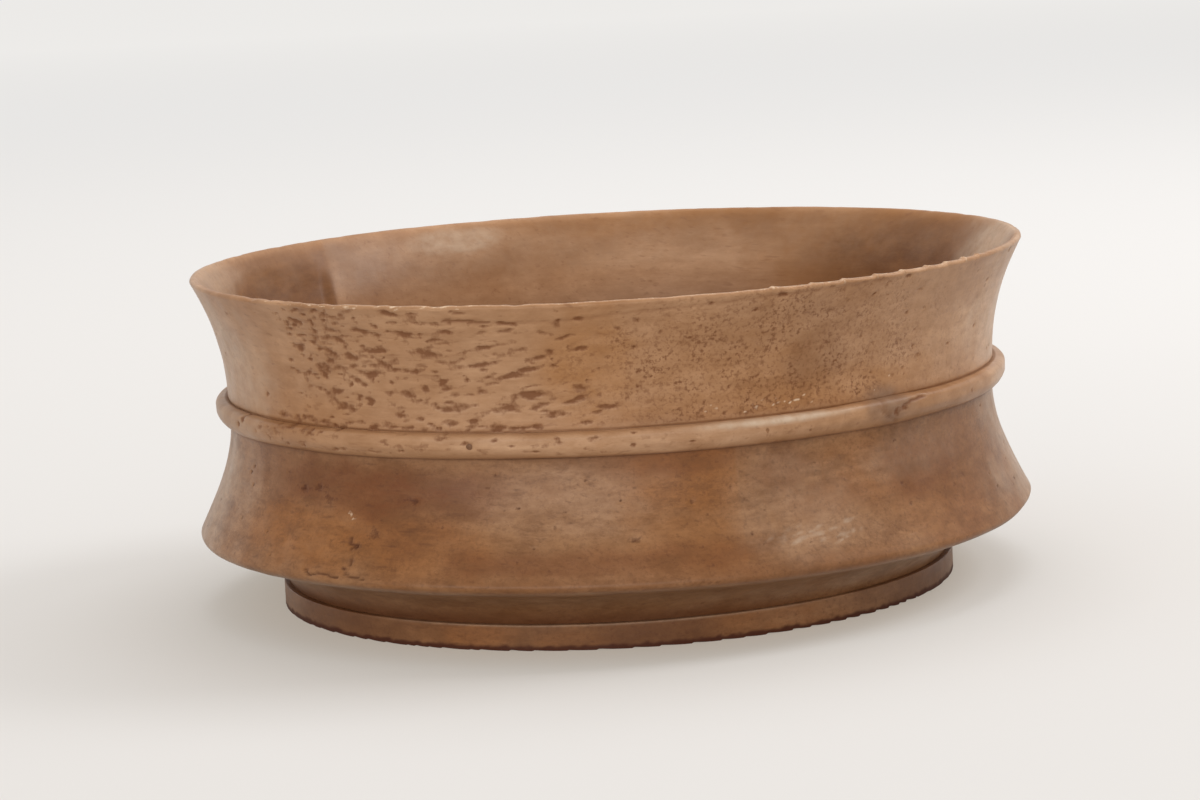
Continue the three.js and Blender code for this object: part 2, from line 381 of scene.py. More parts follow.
# Long pits where the wall runs along the grain, left of the front, and small ones where it cuts across it.
pits = np.full(len(wall.at), -1.2)
for bearing, height, half_length, half_width, tilt in (
        (-16.6, 53.1, 5.5, 0.42, 12), (-14.8, 42.7, 3.1, 0.7, 3), (-24.8, 52.1, 3.0, 0.8, -10),
        (-21.6, 42.9, 3.2, 0.65, 11), (-11.0, 45.1, 3.1, 0.5, 0), (-41.0, 42.9, 2.4, 0.8, -9),
        (-38.6, 54.1, 2.6, 0.7, -12), (-28.8, 45.0, 1.5, 1.0, 20), (-32.6, 52.5, 2.4, 0.55, -2),
        (-37.0, 47.1, 2.8, 0.6, -25), (-34.2, 48.3, 2.1, 0.8, -2), (-37.2, 51.3, 1.9, 0.8, -6),
        (-10.0, 42.9, 2.1, 0.45, 13), (-12.8, 57.1, 2.2, 0.35, -9), (-28.8, 59.0, 2.1, 0.5, -15),
        (-34.2, 55.9, 2.3, 0.6, -11), (-21.6, 55.9, 1.9, 0.5, -9), (-4.8, 44.0, 2.7, 0.4, 20),
        (-27.8, 55.6, 1.9, 0.65, -16), (-43.4, 47.9, 2.0, 0.5, -40), (-40.8, 51.8, 2.0, 0.55, -29),
        (-31.8, 50.0, 1.9, 0.5, -36), (-9.6, 51.1, 2.2, 0.4, 14), (-14.2, 47.9, 3.0, 0.4, 8),
        (-27.0, 49.0, 1.3, 0.5, 15), (-42.4, 55.4, 1.7, 0.6, -40), (-14.6, 51.5, 1.2, 0.6, 15),
        (-8.2, 55.3, 1.2, 0.5, -14), (-46.6, 52.4, 1.2, 0.6, 7), (-35.4, 43.8, 1.1, 0.6, -11),
        (-18.0, 45.5, 1.2, 0.55, 11), (-8.2, 41.1, 1.1, 0.4, 0), (-23.8, 40.2, 1.1, 0.5, 12),
        (-0.8, 42.4, 2.2, 0.4, 0), (-17.5, 50.2, 3.6, 0.35, 6), (-11.5, 49.2, 1.6, 0.45, 4),
        (-41.5, 45.0, 1.4, 0.6, 5), (-30.5, 41.4, 1.3, 0.5, 0), (-19.8, 40.6, 1.2, 0.4, 0),
        (-45.5, 57.0, 1.6, 0.5, -8), (-38.0, 58.2, 2.4, 0.5, -4), (-23.0, 47.2, 1.4, 0.5, 30),
        (-4.5, 52.4, 2.2, 0.5, 8), (-26.0, 58.2, 1.5, 0.5, 0)):
    wall.pit(pits, bearing, height, half_length, half_width, tilt, 1.15)
    beside, level_with = (bearing - 4, bearing + 4), (height - 2.4, min(height + 2.4, 59.4))
    wall.sprinkle(pits, 3, beside, level_with, (0.3, 1.0), (0.2, 0.4), (-4, 12), (0.3, 1))
wall.sprinkle(pits, 90, (-49, -30), (47, 59.6), (0.3, 1.1), (0.2, 0.4), full=(0.3, 1))
wall.sprinkle(pits, 80, (-50, -22), (39.5, 59.6), (0.3, 0.8), (0.2, 0.35), full=(0.3, 1))
wall.sprinkle(pits, 34, (-24, -2), (39.5, 59), (0.8, 1.9), (0.18, 0.32), (0, 12), full=(0.3, 0.9))
wall.sprinkle(pits, 50, (-55, -12), (38.9, 40.2), (0.4, 1.2), (0.2, 0.4), full=(0.3, 0.9))
wall.sprinkle(pits, 60, (-60, 0), (35.0, 38.4), (0.3, 0.9), (0.18, 0.3), full=(0.2, 0.7))
wall.sprinkle(pits, 200, (118, 178), (39.5, 59.5), (0.5, 2.2), (0.22, 0.5), full=(0.2, 1))
wall.sprinkle(pits, 190, (-14, 48), (39.5, 59.2), (0.18, 0.36), (0.16, 0.26), (-40, 40), full=(0.2, 0.8))
wall.sprinkle(pits, 120, (-180, 180), (39.5, 59.5), (0.2, 0.6), (0.18, 0.3), full=(0.2, 0.7))
for bearing, height, half_length, half_width in (
        (22.4, 59.0, 0.9, 0.4), (42.2, 59.4, 0.8, 0.35), (36.8, 57.2, 0.5, 0.3), (64.4, 47.3, 0.45, 0.35),
        (2.4, 36.1, 0.5, 0.45), (2.6, 38.2, 0.6, 0.3), (-10.8, 35.6, 1.1, 0.22), (10.2, 36.0, 0.6, 0.25),
        (-20.2, 37.3, 0.8, 0.4), (27.0, 35.6, 0.4, 0.25), (-26.0, 46.0, 0.6, 0.9), (17.5, 39.6, 0.4, 0.3),
        (-64.0, 37.9, 0.8, 0.7), (-65.5, 37.0, 0.5, 0.5), (41.4, 36.5, 0.8, 0.75), (43.0, 36.9, 0.9, 0.4)):
    wall.pit(pits, bearing, height, half_length, half_width, 0, 1.4)
fibres = unevenness(wall.at * (0.28, 0.28, 1), 0.42, 22)
ragged_pits = pits + 0.45 * unevenness(wall.at, 1.1, 21) + 0.6 * fibres
cracks = np.full(len(wall.at), -1.0)
for path, half_width in (
        (((-21.2, 57.9), (-18.4, 57.8), (-15.4, 57.5)), 0.38), (((-20.3, 59.4), (-18.6, 59.2)), 0.28),
        (((-14.2, 56.0), (-12.6, 56.0)), 0.28), (((42.6, 37.2), (44.8, 37.8), (47.4, 37.9)), 0.35)):
    wall.crack(cracks, path, half_width)
wall.crack(cracks, ((37.6, 41.0), (39.0, 38.6), (38.6, 36.9), (42.2, 34.6)), 0.35, 0.45)
wall.crack(cracks, ((-24, 57.4), (-8, 57.3), (4, 58.4), (22, 59.1), (38, 59.5)), 0.45, 0.35)

# A knot crosses the wall and the bead, right of the front, with a small hole at its middle.
# The pegs' heads lie a little sunk in the bead, apart from three that are nearly flush.
knot = wall.patch(41.0, 38.3, 4.8, 3.8, 1.0, 0.45, 0.5, seed=10)
swell = 0.25 * wall.patch(41.5, 38.2, 6.5, 4.5, 1.0, 0.9, 0.1, seed=11)
waist_pegs = sorted(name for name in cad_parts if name.startswith("waist_peg_"))


def middle_of(node):
    low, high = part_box(node)
    return (low + high) / 2


def flush(bearing):
    return any(abs(bearing - at) < 5 for at in (-60, 20, 60))


sunk = wall.bare.copy()
for name in waist_pegs:
    bearing = bearing_of(middle_of(name))
    gap = np.hypot(np.radians(wall.away(bearing)) * face_radius, wall.height - bead_middle)
    how_deep = 0.2 if flush(bearing) else 1.0
    sunk = np.maximum(sunk, how_deep * (1 - smoothly(0.45, 0.8, gap)) * (wall.outer > 0.5))

# The lip is thin and chipped, with a row of small nicks at its front right.
nicks = (21.0, 26.2, 31.0, 36.2, 40.9, 45.6, 49.9, 54.3, 58.0, 61.5)
lip = smoothly(59.2, 60.1, wall.height)
saw = wall.bare.copy()
for near, far in zip(nicks, nicks[1:]):
    step = (wall.bearing - near) / (far - near)
    saw = np.where((step >= 0) & (step < 1), 0.36 * np.exp(-step / 0.22) - 0.1, saw)
worn = -0.25 * np.maximum(unevenness(wall.at, 1.6, 23), 0) * wall.patch(-34, 60.4, 26, 3, 1.0, 0.3)
worn = worn - 0.10 * np.maximum(unevenness(wall.at, 2.2, 24), 0)

dent = -0.24 * smoothly(-0.1, 0.8, ragged_pits) - 0.30 * smoothly(0, 0.8, cracks) - 0.25 * sunk
wobble = 0.11 * unevenness(wall.at, 17, 3) + 0.035 * unevenness(wall.at, 3.6, 4) + swell
inner_wobble = 0.12 * unevenness(wall.at, 14, 6) * hollow_side * (1 - lip)
wall.shift(np.where(wall.outer > 0.5, dent + wobble, inner_wobble))
wall.at[:, 2] += lip * (saw + worn)
wall.keep()

# The stains, wear and dirt that the wood's finish takes from the piece, and painted light: painted shade in the
# hollow and the scoop, and painted highlights and painted sheen on the bead, the rim, the arris and both ends. Each
# row is a patch: its bearing, height, half width in degrees, half height in mm and strength, and for some its
# softness and raggedness.
in_hollow = hollow_side.astype(float)
orange = wall.patches((-3, 49, 6, 10, 0.6), (33, 42, 14, 3.4, 0.45), (60, 37, 20, 3, 0.3), (6, 42, 16, 2.5, 0.3),
                      (-50, 41, 12, 3, 0.3), (14, 48, 14, 9, 0.35))
# Orange inside: a band under the back rim, and at the inner right the tint of the painted shade there.
inner_orange = wall.patches((172, 58.6, 40, 2.2, 0.45), (120, 52, 26, 10, 0.9, 0.8, 0.2))
orange = np.maximum(orange * (1 - in_hollow), in_hollow * inner_orange)
in_scoop = smoothly(-0.4, 0.5, past_arris) * (1 - smoothly(-112, -84, wall.bearing)) * (wall.bearing < -60)
scoop_top = np.interp(wall.bearing, (-132, -120, -105, -90), (61.5, 59.5, 56.5, 53))
in_scoop = in_scoop * (1 - smoothly(-3, 0, wall.height - scoop_top))
# The scoop is painted orange and dark left of its arris: painted shade.
orange = np.maximum(orange, in_hollow * in_scoop * 0.9)
dark = wall.patches((29.5, 49, 5, 5, 0.42), (27, 55, 5, 3, 0.3), (17, 54, 10, 4, 0.25), (-42, 57, 9, 3, 0.2),
                    (150, 50, 40, 7, 0.3), (-76, 37, 14, 2.5, 0.35), (56, 37, 14, 2.5, 0.25))
dark = dark * (1 - in_hollow)
dark = np.maximum(dark, 0.8 * knot * (1 - in_hollow))
# Painted shade over the hollow: darker higher up, at the inner right and in the scoop, fading out just under the
# lip.
shade = 0.2 + 0.3 * smoothly(47, 54, wall.height)
shade = shade + wall.patch(-125, 54, 40, 12, 0.2, 0.8) - wall.patch(168, 48, 26, 7, 0.2, 0.8)
shade = np.maximum(shade, wall.patches((121, 51, 23, 10, 1.0, 0.8, 0.15), (150, 44, 34, 6, 0.35, 0.8, 0.2)))
shade = np.maximum(shade, in_scoop * (1 - 0.2 * smoothly(51, 59, wall.height)))
dark = np.maximum(dark, in_hollow * shade * (1 - 0.8 * smoothly(58.5, 60.2, wall.height)))
# Pale: wear, and at both ends (bearings -90 and 72) painted sheen.
pale = wall.patches((-30, 49, 19, 13, 0.3), (-12, 42, 14, 5, 0.5), (0, 37, 24, 2.2, 0.8), (-90, 48, 20, 16, 0.3),
                    (72, 46, 16, 13, 1.0), (46, 51, 18, 9, 0.35), (10, 50, 14, 10, 0.25))
# Inside, painted highlights and painted sheen on the back wall and at both ends near the rim.
inner_painted_highlights = wall.patches((-156, 56.5, 16, 4, 0.3), (167, 50, 14, 6, 0.45), (-94, 58, 12, 4, 0.4),
                          (93, 57, 8, 6, 0.8))
pale = np.maximum(pale * (1 - in_hollow), in_hollow * inner_painted_highlights)
# A painted highlight along the scoop's arris, just outside the scoop.
arris = np.exp(-((past_arris + 0.9) / 1.1) ** 2)
arris = arris * smoothly(43, 46, wall.height) * (1 - smoothly(54, 58.5, wall.height))
pale = np.maximum(pale, in_hollow * arris * 0.35)
wall.note("stains_and_painted_light", orange, dark, pale, np.clip(ragged_pits, -1, 1))
speckle = wall.patches((21, 48, 23, 13, 0.85), (-112, 50, 40, 14, 0.8), (46, 46, 18, 12, 0.2))
speckle = speckle * (1 - in_hollow) * (0.1 + 0.9 * smoothly(38.7, 39.6, wall.height))
# Painted shade in the crease above the bead and along the bead's lower edge; the cracks, the dents round the sunk
# pegs and the knot are darkened too.
groove = np.exp(-((wall.height - 38.72) / 0.22) ** 2) * (wall.radius < 70.2) * (wall.outer > 0.5)
under = (1 - smoothly(34.2, 34.7, wall.height)) * (wall.outer > 0.5)
dirt_and_painted_shade = np.maximum.reduce([0.75 * smoothly(0, 0.7, cracks), 0.55 * groove, 0.5 * under, 0.3 * sunk, 0.2 * knot])
chips_and_glints = wall.bare - 1
wall.sprinkle(chips_and_glints, 45, (12, 30), (39.5, 41.6), (0.22, 0.5), (0.16, 0.24), (-20, 20), (0.7, 1.3))
wall.sprinkle(chips_and_glints, 12, (30, 46), (39.8, 45), (0.22, 0.3), (0.16, 0.24), (-20, 20), (0.6, 1.0))
wall.sprinkle(chips_and_glints, 30, (-52, -16), (59.7, 60.4), (0.5, 1.5), (0.2, 0.3), full=(0.4, 1.0))
# Painted glints: the pale at each nick of the lip and along the top of the rim at the front are painted highlights.
chips_and_glints = np.maximum(chips_and_glints, lip * smoothly(0.05, 0.22, saw) * 0.55)
painted_rim_highlight = smoothly(60.15, 60.38, wall.height) * wall.patch(15, 60.4, 50, 2, 0.35, 0.3, 0.4, seed=15)
chips_and_glints = np.maximum(chips_and_glints, painted_rim_highlight)
# Painted sheen: both ends outside and places on the inner wall are painted paler; the knot's grey is its own. A
# painted highlight runs along the top of the bead, right of the front.
painted_sheen_and_knot_grey = np.maximum(wall.patches((-90, 46, 25, 20, 0.28), (90, 46, 22, 20, 0.26)), 0.2 * knot)
inner_painted_sheen = wall.patches((-156, 57, 8, 2.2, 0.34), (-92, 58, 16, 5, 0.2), (175, 55, 60, 5, 0.08),
                          (95, 56, 11, 7, 0.36))
painted_sheen_and_knot_grey = np.maximum(painted_sheen_and_knot_grey * (1 - in_hollow), inner_painted_sheen * in_hollow)
painted_bead_highlight = wall.patch(22.5, 38.1, 9.5, 0.6, 0.7, 0.7, 0.2, seed=16) * (wall.radius > 70.5)
wall.note("marks", speckle, dirt_and_painted_shade, np.clip(chips_and_glints, 0, 1), np.maximum(painted_sheen_and_knot_grey, painted_bead_highlight))

grain_bearing = -32.0
# Colours for rubbed wear with painted sheen and highlights, and for chips with painted glints.
rubbed_and_sheen_colour, chip_and_glint_colour = paint(212, 192, 168), paint(222, 192, 160)


def waxed_wood(name, *, light, middle, deep, orange_stain_and_painted_light, dark_stain_and_shade, pale_wear_and_light, pore_and_shade, cloudy=0.1):
    """Old waxed wood: level grain through the block, stains and wear painted on the piece with painted shade and
    painted light, and open pores. One attribute holds orange, dark (stains and painted shade), pale (wear and
    painted light) and pits, and the marks hold speckle, dirt and painted shade, chips and painted glints, and rubbed
    places with painted sheen and highlights.
    Each noise scale is in turns per metre, so 500 gives marks about 2 mm wide."""
    m = new_material(name)
    where = add(m, "TexCoord").outputs["Object"]
    turned_grain = add(m, "Mapping", [("Vector", where), ("Rotation", (0, 0, math.radians(-grain_bearing)))])
    stains_and_painted_light = add(m, "Attribute", attribute_name="stains_and_painted_light")
    marks = add(m, "Attribute", attribute_name="marks")
    stain = add(m, "SeparateColor", [("Color", stains_and_painted_light.outputs["Color"])]).outputs
    mark = add(m, "SeparateColor", [("Color", marks.outputs["Color"])]).outputs

    def stretched(vector, *scale):
        return add(m, "Mapping", [("Vector", vector), ("Scale", scale)]).outputs["Vector"]

    def noise(scale, detail=3.0, rough=0.55, vector=where):
        return add(m, "TexNoise", [("Vector", vector), ("Scale", scale), ("Detail", detail),
                                   ("Roughness", rough)]).outputs["Fac"]

    def ramp(value, low, high, start=0.0, end=1.0):
        return add(m, "MapRange", [("Value", value), ("From Min", low), ("From Max", high),
                                   ("To Min", start), ("To Max", end)]).outputs["Result"]

    def times(a, b):
        return add(m, "Math", [(0, a), (1, b)], operation="MULTIPLY").outputs["Value"]

    def plus(a, b):
        return add(m, "Math", [(0, a), (1, b)], operation="ADD").outputs["Value"]

    def mix(amount, a, b):
        return add(m, "Mix", [("Factor", amount), ("A", a), ("B", b)], data_type="RGBA").outputs["Result"]

    along = stretched(turned_grain.outputs["Vector"], 0.13, 1, 1)
    flat = stretched(where, 0.4, 0.4, 1)
    level = stretched(where, 0.1, 0.1, 1.4)
    clouds = ramp(noise(65, 5, 0.6), 0.35, 0.65)
    figure = ramp(noise(480, 4, 0.6, along), 0.38, 0.66)
    mottle = ramp(noise(700, 5, 0.7, flat), 0.36, 0.68)
    colour = mix(clouds, middle, light)
    colour = mix(times(figure, 0.28), colour, deep)
    # The stains; the same channels also carry painted shade and painted light.
    colour = mix(times(stain["Red"], ramp(noise(260, 4, 0.6, flat), 0.3, 0.6, 0.6, 1.0)), colour, orange_stain_and_painted_light)
    colour = mix(times(stain["Green"], ramp(noise(360, 6, 0.68, flat), 0.34, 0.6, 0.72, 1.0)), colour, dark_stain_and_shade)
    colour = mix(times(stain["Blue"], ramp(noise(340, 6, 0.68, flat), 0.38, 0.6, 0.4, 1.0)), colour, pale_wear_and_light)
    colour = mix(times(mottle, 0.2 + 0.35 * cloudy), colour, deep)
    blotches = ramp(noise(260, 7, 0.76, flat), 0.47, 0.62)
    colour = mix(times(blotches, plus(times(mark["Red"], 0.25), cloudy)), colour, deep)
    tool_lines = ramp(noise(420, 4, 0.65, level), 0.42, 0.62)
    colour = mix(times(tool_lines, 0.16), colour, deep)
    vessels = ramp(noise(1250, 2, 0.5, along), 0.60, 0.74)
    colour = mix(times(vessels, 0.3), colour, pore_and_shade)
    dots = times(ramp(noise(1500, 4, 0.7), 0.50, 0.60), ramp(noise(260, 3), 0.35, 0.6, 0.4, 1.0))
    colour = mix(times(dots, times(mark["Red"], 0.85)), colour, pore_and_shade)
    # Rubbed wear, and painted sheen and highlights.
    rubbed_and_painted_sheen = times(marks.outputs["Alpha"], ramp(noise(500, 4), 0.3, 0.6, 0.5, 1.0))
    colour = mix(rubbed_and_painted_sheen, colour, rubbed_and_sheen_colour)
    edge = ramp(noise(1500, 3, 0.6), 0.3, 0.7, -0.3, 0.3)
    open_pore = ramp(plus(stains_and_painted_light.outputs["Alpha"], edge), -0.2, 0.65)
    colour = mix(times(open_pore, 0.78), colour, pore_and_shade)
    # Dirt and painted shade take the pore colour.
    colour = mix(mark["Green"], colour, pore_and_shade)
    # Chips and painted glints.
    colour = mix(ramp(plus(mark["Blue"], edge), 0.32, 0.75, 0.0, 0.8), colour, chip_and_glint_colour)
    height = plus(times(figure, 0.3), times(mottle, 0.4))
    height = plus(height, times(plus(open_pore, times(dots, mark["Red"])), -0.5))
    bump = add(m, "Bump", [("Height", height), ("Distance", 0.0001), ("Strength", 0.35)])
    shine = plus(ramp(noise(150, 4), 0.3, 0.7, 0.36, 0.48), times(plus(open_pore, mark["Green"]), 0.3))
    shader = add(m, "BsdfPrincipled", [
        ("Base Color", colour), ("Roughness", shine), ("Normal", bump.outputs["Normal"]),
        ("Coat Weight", 0.05), ("Coat Roughness", 0.3), ("IOR", 1.3)])
    add(m, "OutputMaterial", [("Surface", shader.outputs["BSDF"])])
    return m


set_on(upper_wall, "upper_wall", waxed_wood(
    "upper_wood", light=paint(188, 144, 106), middle=paint(170, 124, 85), deep=paint(130, 86, 50),
    orange_stain_and_painted_light=paint(166, 110, 54), dark_stain_and_shade=paint(101, 58, 18), pale_wear_and_light=paint(202, 160, 124),
    pore_and_shade=paint(108, 61, 30)))

# The lower wall.
# A second ring of the same wood, splayed down to a rounded shoulder and hollowed out underneath, with a
# spigot at its top that goes up inside the upper wall. It is darker, from handling and oil.
lower_wall = turned("lower_wall_carved", outline(
    (53.3, 8.9), (1.5, (53.3, 4.5)), (1.5, (60.4, 4.45)), (0.55, (62.2, 9.4), (72.4, 11.5)),
    (0.25, (76.4, 12.3), (75.7, 14.0)), (0.38, (72.9, 19.4), (69.3, 26.6), (69.3, 34.15)),
    (1.2, (68.1, 34.1)), (1.7, (68.1, 40.8)), (1.4, (65.3, 40.8)), (1.4, (64.3, 30.5)),
    (1.3, (64.3, 11.0), (48.7, 9.9)), (1.0, (48.7, 8.9))), ((60.4, 4.45), (69.3, 34.15)))
base = Surface(lower_wall)
pits = np.full(len(base.at), -1.0)
base.sprinkle(pits, 150, (-180, 180), (15, 33), (0.2, 0.5), (0.15, 0.3), full=(0.3, 0.9))
for bearing, height, half_length, half_width, full in (
        (-64.4, 29.3, 0.5, 0.45, 1.5), (-65.4, 28.2, 0.5, 0.45, 1.4), (-63.8, 26.1, 0.4, 0.5, 1.4),
        (-64.2, 20.1, 0.5, 0.4, 0.8), (-37.0, 19.0, 1.0, 0.4, 0.9), (-38.2, 15.4, 0.7, 0.4, 0.8),
        (-49.2, 27.5, 1.4, 0.5, 0.45), (-43.4, 26.3, 1.2, 0.5, 0.4), (-46.0, 28.1, 1.1, 0.5, 0.4),
        (-28.8, 27.1, 1.6, 0.5, 0.5), (-34.4, 21.0, 0.7, 0.9, 0.5), (-16.8, 31.5, 0.5, 0.3, 0.9),
        (-17.8, 29.4, 0.4, 0.3, 0.8), (-4.2, 30.3, 0.4, 0.3, 0.8), (2.0, 20.4, 0.8, 0.3, 0.5),
        (17.6, 20.0, 0.4, 0.4, 0.5)):
    base.pit(pits, bearing, height, half_length, half_width, 0, full)
ragged_pits = pits + 0.4 * unevenness(base.at, 0.9, 31) + 0.2 * unevenness(base.at, 0.45, 32)
cracks = np.full(len(base.at), -1.0)
for path, half_width in (
        (((-38.2, 20.2), (-37.7, 18.2), (-37.2, 16.0)), 0.2), (((-37.8, 19.2), (-36.6, 19.0)), 0.3),
        (((-44.9, 14.6), (-43.6, 13.9), (-41.2, 14.3), (-39.0, 14.1)), 0.23),
        (((-38.0, 14.8), (-37.0, 14.2), (-35.4, 14.1)), 0.23), (((-35.0, 14.1), (-31.6, 14.3)), 0.13)):
    base.crack(cracks, path, half_width)
chips_and_glints = base.bare - 1
base.pit(chips_and_glints, -39.2, 24.2, 1.2, 0.6, -40, 0.85)
base.pit(chips_and_glints, -38.4, 23.4, 0.9, 0.5, -30, 0.75)
scuffs = base.bare.copy()
base.sprinkle(scuffs, 18, (19, 33), (17.4, 20.3), (1.8, 4.0), (0.25, 0.6), (0, 16), full=(0.3, 1.0))
scuffs = np.clip(scuffs + (scuffs > 0) * (0.5 * unevenness(base.at, 0.8, 35) - 0.1), 0, 1)
side = (base.outer > 0.5) & (base.radius > 60)
dent = -0.22 * smoothly(-0.1, 0.7, ragged_pits) - 0.4 * smoothly(0, 0.8, cracks) - 0.15 * smoothly(0, 1, chips_and_glints)
wobble = 0.12 * unevenness(base.at, 18, 33) + 0.03 * unevenness(base.at, 4, 34)
base.shift(np.where(side, dent + wobble * smoothly(60.5, 63, base.radius), 0))
base.keep()

# The hollow under the shoulder is painted darker towards its crease, most at its left, as painted shade, and paler
# higher up and at its front right, as painted light.
cove = (1 - smoothly(8.5, 12.5, base.height)) * (base.outer > 0.5)
cove_shade = cove * (1 - 0.85 * smoothly(8, 46, base.bearing) * (base.bearing < 120))
# The crease is darkened further with painted shade.
crease = cove_shade * smoothly(7.5, 4.6, base.height)
painted_right_cove_light = base.patch(52, 8, 27, 7, 1.0, 0.6) * smoothly(4.2, 7.8, base.height)
painted_cove_light = np.maximum(0.5 * smoothly(6.2, 10.5, base.height), painted_right_cove_light) * smoothly(72.5, 66, base.radius)
orange = base.patches((-46, 21, 16, 6, 0.8), (-30, 20, 12, 5, 0.6), (8, 30, 9, 7, 0.75), (10, 20, 9, 5, 0.4),
                      (-66, 22, 14, 9, 0.4), (34.5, 27.5, 8, 5, 0.6), (50, 18, 10, 5, 0.35), (10, 18, 12, 3, 0.3),
                      (140, 24, 40, 7, 0.6))
orange = np.where((base.bearing > 16.6) & (base.bearing < 26), orange * 0.35, orange)
# The cove's front right is tinted orange with its painted light.
orange = orange * (1 - cove) + 0.35 * painted_right_cove_light * cove
dark = base.patches((-38, 28.5, 20, 5, 0.9), (-30, 24, 9, 6, 0.45), (-57, 30, 8, 6, 0.5), (23, 29, 4.5, 3.5, 0.6),
                    (5, 32.6, 11, 2, 0.5), (28, 24, 7, 3, 0.5), (48, 27, 10, 5, 0.7), (-6, 17, 22, 2.6, 0.6),
                    (64, 24, 22, 11, 0.4), (10, 14, 34, 2.2, 0.4), (-150, 24, 40, 8, 0.5))
# Painted shade in the cove, darker towards the crease.
dark = np.maximum(dark * (1 - cove), cove_shade * smoothly(10, 5, base.height) * 0.5)
# Pale: wear, and at both ends (bearings -80 and 90) painted sheen; in the cove, painted light.
pale = base.patches((-6, 27, 10, 6.5, 0.5), (26, 18.8, 9, 2.2, 0.5), (24, 24, 7.5, 7, 0.4), (-80, 19, 20, 13, 1.0),
                    (90, 22, 18, 14, 0.5), (34.5, 27, 7, 4.5, 0.35))
pale = pale * (1 - cove) + painted_cove_light * cove
base.note("stains_and_painted_light", orange, dark, pale, np.clip(ragged_pits, -1, 1))
# The joint under the bead is darkened, a dark joint with painted shade under the bead's overhang; the crease takes
# painted shade and the cracks are dirt.
seam = smoothly(33.6, 34.1, base.height) * side
dirt_and_painted_shade = np.maximum.reduce([0.65 * smoothly(0, 0.7, cracks), 0.4 * seam, 0.55 * crease])
# Rubbed: the scuffs are wear, and both ends are painted paler as painted sheen; the cove's front right takes painted
# light too.
painted_end_sheen_and_wear = base.patches((-86, 20, 17, 15, 0.22), (90, 24, 20, 16, 0.26), (25, 24, 8, 9, 0.06), (46, 29, 9, 4, 0.1))
rubbed_and_painted_sheen = np.maximum.reduce([0.45 * scuffs, painted_end_sheen_and_wear, 0.13 * cove * painted_right_cove_light])
base.note("marks", base.bare + 0.25, dirt_and_painted_shade, np.clip(chips_and_glints, 0, 1), rubbed_and_painted_sheen)
set_on(lower_wall, "lower_wall", waxed_wood(
    "lower_wood", light=paint(168, 124, 86), middle=paint(151, 106, 67), deep=paint(110, 69, 36),
    orange_stain_and_painted_light=paint(155, 94, 37), dark_stain_and_shade=paint(112, 61, 27), pale_wear_and_light=paint(178, 139, 107),
    pore_and_shade=paint(72, 35, 18), cloudy=0.5))

# The foot ring.
# A low ring of the darkest wood under the lower wall, nearly upright outside with a crisp top edge.
# Six upright pegs hold it, and its lower edge is ragged from wear.
foot_ring = turned("foot_ring_carved", outline(
    (50.5, 0.0), (1.8, (60.4, 0.0)), (0.25, (61.35, 0.0)), (0.27, (61.35, 4.2)), (0.1, (61.35, 4.4), (61.15, 4.4)),
    (1.5, (49.0, 4.4)), (1.3, (50.5, 0.0))), ((60.4, 0.0), (61.15, 4.4)))
foot = Surface(foot_ring)
teeth = (-60, -54.9, -49.4, -46.1, -41.8, -37.1, -35.4, -32.8, -30.0, -25.1, -23.3, -18, -14.5, -9, -4, 1.5,
         6, 11, 15.5, 19.5, 23.2, 28.2, 31.6, 35.2, 38.6, 42.0, 45.6, 49.1, 51.9, 54.4, 57.8, 61)
lifted = foot.bare.copy()
for near, far in zip(teeth, teeth[1:]):
    step = (foot.bearing - near) / (far - near)
    bite = (0.4 if near > 22 else 0.22) * (0.7 + 0.5 * rng.random())
    lifted = np.where((step >= 0) & (step < 1), bite * np.clip(1 - step, 0, 1) ** 2.4, lifted)
elsewhere = 0.2 * np.maximum(unevenness(foot.at, 2.0, 55), 0)
lifted = np.where(np.abs(foot.away(-2)) < 60, lifted, elsewhere)
low = (foot.height < 0.9) & (foot.radius > 60.5)
foot.at[:, 2] += np.where(low, lifted * (1 - foot.height / 0.9) * smoothly(60.5, 61.3, foot.radius), 0)
foot.shift(np.where(foot.radius > 60.9, 0.06 * unevenness(foot.at, 6, 51), 0) * (foot.height > 0.4))
foot.keep()
orange = foot.patches((-24, 2.4, 7, 2.5, 0.8), (26, 2.2, 14, 2.5, 0.7), (-8, 1.5, 5, 1.5, 0.4), (120, 2, 40, 3, 0.5))
dark = foot.patches((5, 2.0, 9, 3, 0.6), (-55, 2, 14, 4, 0.5), (11.5, 1.7, 0.7, 0.9, 0.9), (60, 2, 14, 4, 0.4))
# Painted shade along the foot's lowest edge, ragged, where it meets the table.
brink = 0.95 * (1 - smoothly(0.5, 1.15, foot.height + 0.3 * unevenness(foot.at, 1.0, 56))) * (foot.radius > 61)
# A painted highlight along the foot's top edge at the front.
painted_edge_highlight = smoothly(4.1, 4.35, foot.height) * (foot.radius > 61.0) * smoothly(50, 20, np.abs(foot.away(-2)))
pale = np.maximum(painted_edge_highlight * 0.6, foot.patches((36, 2.2, 16, 4, 0.4)))
foot.note("stains_and_painted_light", orange, dark, pale, foot.bare - 1)
foot.note("marks", foot.bare + 0.2, brink, foot.bare, painted_edge_highlight * 0.2)
set_on(foot_ring, "foot_ring", waxed_wood(
    "foot_wood", light=paint(148, 102, 65), middle=paint(131, 88, 53), deep=paint(98, 60, 34),
    orange_stain_and_painted_light=paint(160, 104, 58), dark_stain_and_shade=paint(92, 52, 25), pale_wear_and_light=paint(172, 131, 96),
    pore_and_shade=paint(70, 30, 13), cloudy=0.3))

